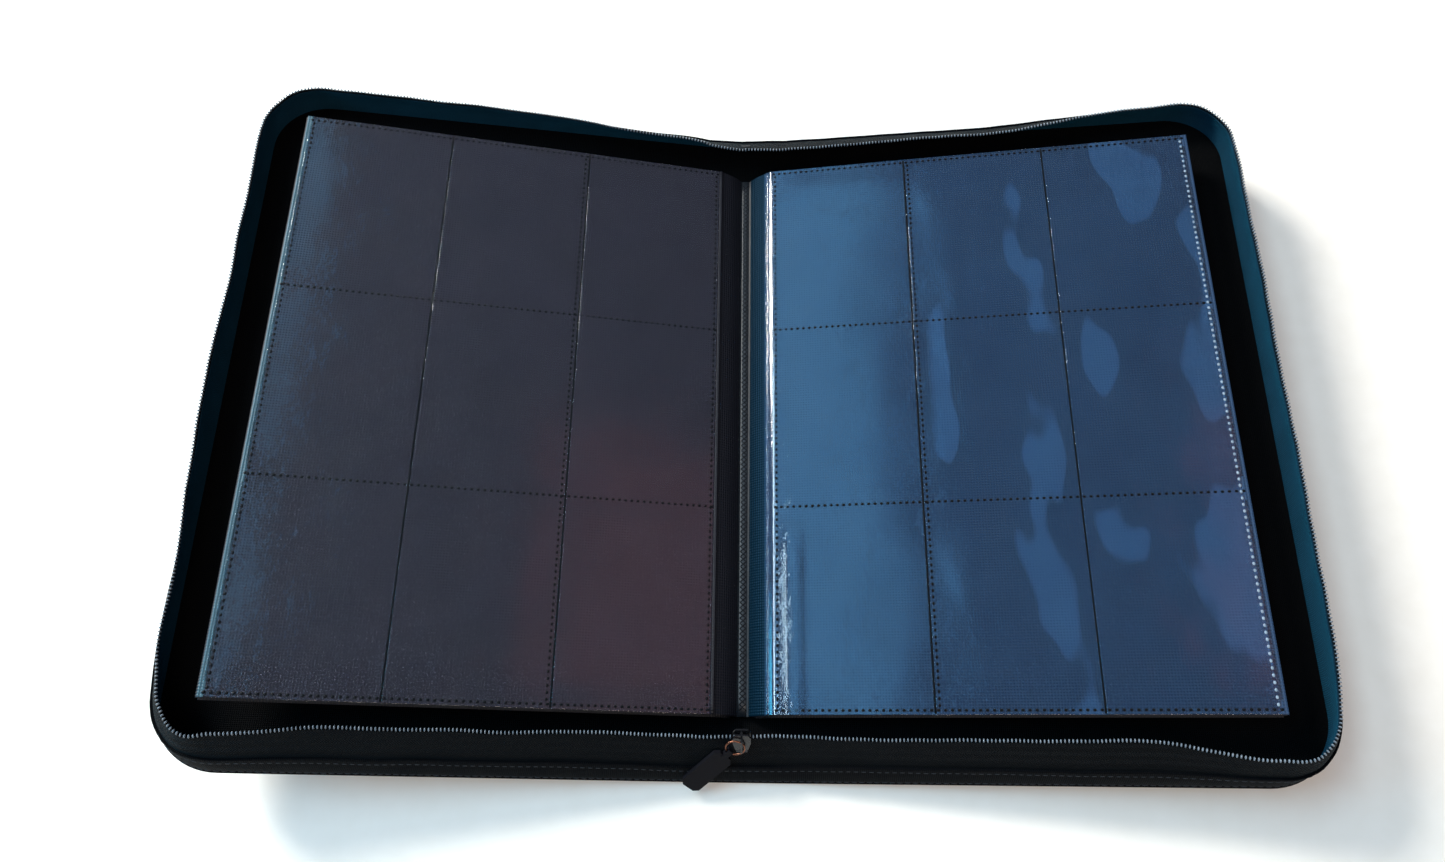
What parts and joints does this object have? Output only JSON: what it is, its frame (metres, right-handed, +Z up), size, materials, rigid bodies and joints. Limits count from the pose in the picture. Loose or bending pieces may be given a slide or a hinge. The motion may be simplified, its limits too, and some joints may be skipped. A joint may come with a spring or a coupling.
{
  "type": "trading card binder",
  "caption": "Zip-around binder lying open on its spine, with clear side-loading pocket leaves that turn, two hinged covers and a zip slider with a pull.",
  "frame": {"origin": "middle of the spine's underside, on the table", "axes": "+Z up, +Y along the spine from its foot (slider end) to its head, -X towards the front cover"},
  "size_m": [0.514, 0.3526, 0.0655],
  "materials": {
    "outer_fabric": "woven",
    "stiffener": "greyboard",
    "lining_fabric": "woven",
    "gusset_fabric": "woven",
    "edge_binding": "ribbed",
    "zip_tape": "herringbone tape",
    "zip_coil": "satin nylon",
    "zip_stop": "moulded",
    "pocket_film": "clear film",
    "leaf_sheet": "embossed sheet",
    "leaf_margin": "embossed sheet",
    "binding_tape": "welded tape",
    "slider_metal": "enamel",
    "ring_wire": "copper plated",
    "pull_rubber": "matt"
  },
  "bodies": {
    "spine": {"spine_skin": "outer_fabric", "spine_board": "stiffener", "spine_lining": "lining_fabric", "binding_strip": "binding_tape", "foot_gusset": "gusset_fabric", "head_gusset": "gusset_fabric", "foot_end_stop": "zip_stop", "head_end_stop": "zip_stop"},
    "front_cover": {"front_cover_skin": "outer_fabric", "front_cover_board": "stiffener", "front_cover_lining": "lining_fabric", "front_edge_binding": "edge_binding", "front_gusset_wall": "gusset_fabric", "front_zip_tape": "zip_tape", "front_zip_coil": "zip_coil"},
    "back_cover": {"back_cover_skin": "outer_fabric", "back_cover_board": "stiffener", "back_cover_lining": "lining_fabric", "back_edge_binding": "edge_binding", "back_gusset_wall": "gusset_fabric", "back_zip_tape": "zip_tape", "back_zip_coil": "zip_coil"},
    "front_margins": {"front_leaf_margins": "leaf_margin", "front_weld_bar": "leaf_margin"},
    "back_margins": {"back_leaf_margins": "leaf_margin", "back_weld_bar": "leaf_margin", "back_top_leaf_margin": "leaf_margin"},
    "front_leaves": {"front_leaf_02": "leaf_sheet", "front_leaf_03": "leaf_sheet", "front_leaf_04": "leaf_sheet", "front_leaf_05": "leaf_sheet", "front_leaf_06": "leaf_sheet", "front_leaf_07": "leaf_sheet", "front_leaf_08": "leaf_sheet", "front_leaf_09": "leaf_sheet", "front_leaf_10": "leaf_sheet"},
    "back_leaves": {"back_leaf_02": "leaf_sheet", "back_leaf_03": "leaf_sheet", "back_leaf_04": "leaf_sheet", "back_leaf_05": "leaf_sheet", "back_leaf_06": "leaf_sheet", "back_leaf_07": "leaf_sheet", "back_leaf_08": "leaf_sheet", "back_leaf_09": "leaf_sheet", "back_leaf_10": "leaf_sheet", "back_top_leaf_backing": "leaf_sheet", "back_top_leaf_front_film": "pocket_film", "back_top_leaf_back_film": "pocket_film"},
    "turning_margin": {"front_top_leaf_margin": "leaf_margin"},
    "turning_crease": {"front_top_leaf_crease": "leaf_margin"},
    "turning_leaf": {"front_top_leaf_backing": "leaf_sheet", "front_top_leaf_front_film": "pocket_film", "front_top_leaf_back_film": "pocket_film"},
    "slider": {"zip_slider": "slider_metal", "slider_bridge": "slider_metal"},
    "ring": {"pull_ring": "ring_wire"},
    "tab": {"pull_tab": "pull_rubber"}
  },
  "joints": [
    {"name": "front_cover_hinge", "type": "hinge", "parent": "spine", "child": "front_cover", "pos_m": [-0.021, 0, 0.002], "axis": [0, 1, 0], "range_deg": [-9.5, 80.5]},
    {"name": "back_cover_hinge", "type": "hinge", "parent": "spine", "child": "back_cover", "pos_m": [0.021, 0, 0.002], "axis": [0, -1, 0], "range_deg": [-6, 84]},
    {"name": "front_margin_hinge", "type": "hinge", "parent": "spine", "child": "front_margins", "pos_m": [-0.001, 0, 0.0053], "axis": [0, 1, 0], "range_deg": [-2.04, 16.95]},
    {"name": "back_margin_hinge", "type": "hinge", "parent": "spine", "child": "back_margins", "pos_m": [0.001, 0, 0.0053], "axis": [0, -1, 0], "range_deg": [-1.31, 17.69]},
    {"name": "front_crease_hinge", "type": "hinge", "parent": "front_margins", "child": "front_leaves", "pos_m": [-0.0136, 0, 0.016], "axis": [0, 1, 0], "range_deg": [-7.12, 59.99]},
    {"name": "back_crease_hinge", "type": "hinge", "parent": "back_margins", "child": "back_leaves", "pos_m": [0.0136, 0, 0.016], "axis": [0, -1, 0], "range_deg": [-4.62, 64.01]},
    {"name": "leaf_turn", "type": "hinge", "parent": "front_leaves", "child": "turning_crease", "pos_m": [-0.001, 0, 0.0053], "axis": [0, -1, 0], "range_deg": [-98.66, 0]},
    {"name": "turning_margin_swing", "type": "hinge", "parent": "front_margins", "child": "turning_margin", "pos_m": [-0.001, 0, 0.0053], "axis": [0, -1, 0], "range_deg": [-98.71, 0.05]},
    {"name": "turning_crease_fold", "type": "hinge", "parent": "turning_crease", "child": "turning_leaf", "pos_m": [-0.0136, 0, 0.016], "axis": [0, -1, 0], "range_deg": [-56.84, 0.05]},
    {"name": "slider_slide", "type": "slide", "parent": "spine", "child": "slider", "axis": [0, 0.6461, 0.7632], "range_m": [0, 0.004]},
    {"name": "pull_swivel", "type": "hinge", "parent": "slider", "child": "ring", "pos_m": [0, -0.15914, 0.02568], "axis": [0, -0.7632, 0.6461], "range_deg": [-5.2, 43.65]},
    {"name": "pull_lift", "type": "hinge", "parent": "ring", "child": "tab", "pos_m": [-0.00577, -0.1625, 0.02058], "axis": [-0.7242, 0.4456, 0.5263], "range_deg": [0, 80]}
  ],
  "couplings": [
    {"joint": "front_margin_hinge", "follows": "front_cover_hinge", "ratio": 0.21},
    {"joint": "back_margin_hinge", "follows": "back_cover_hinge", "ratio": 0.21},
    {"joint": "front_crease_hinge", "follows": "front_cover_hinge", "ratio": 0.74466},
    {"joint": "back_crease_hinge", "follows": "back_cover_hinge", "ratio": 0.76143},
    {"joint": "turning_margin_swing", "follows": "leaf_turn", "ratio": 1},
    {"joint": "pull_swivel", "follows": "front_cover_hinge", "ratio": 0.54161},
    {"joint": "turning_crease_fold", "follows": "leaf_turn", "ratio": 0.57555}
  ]
}
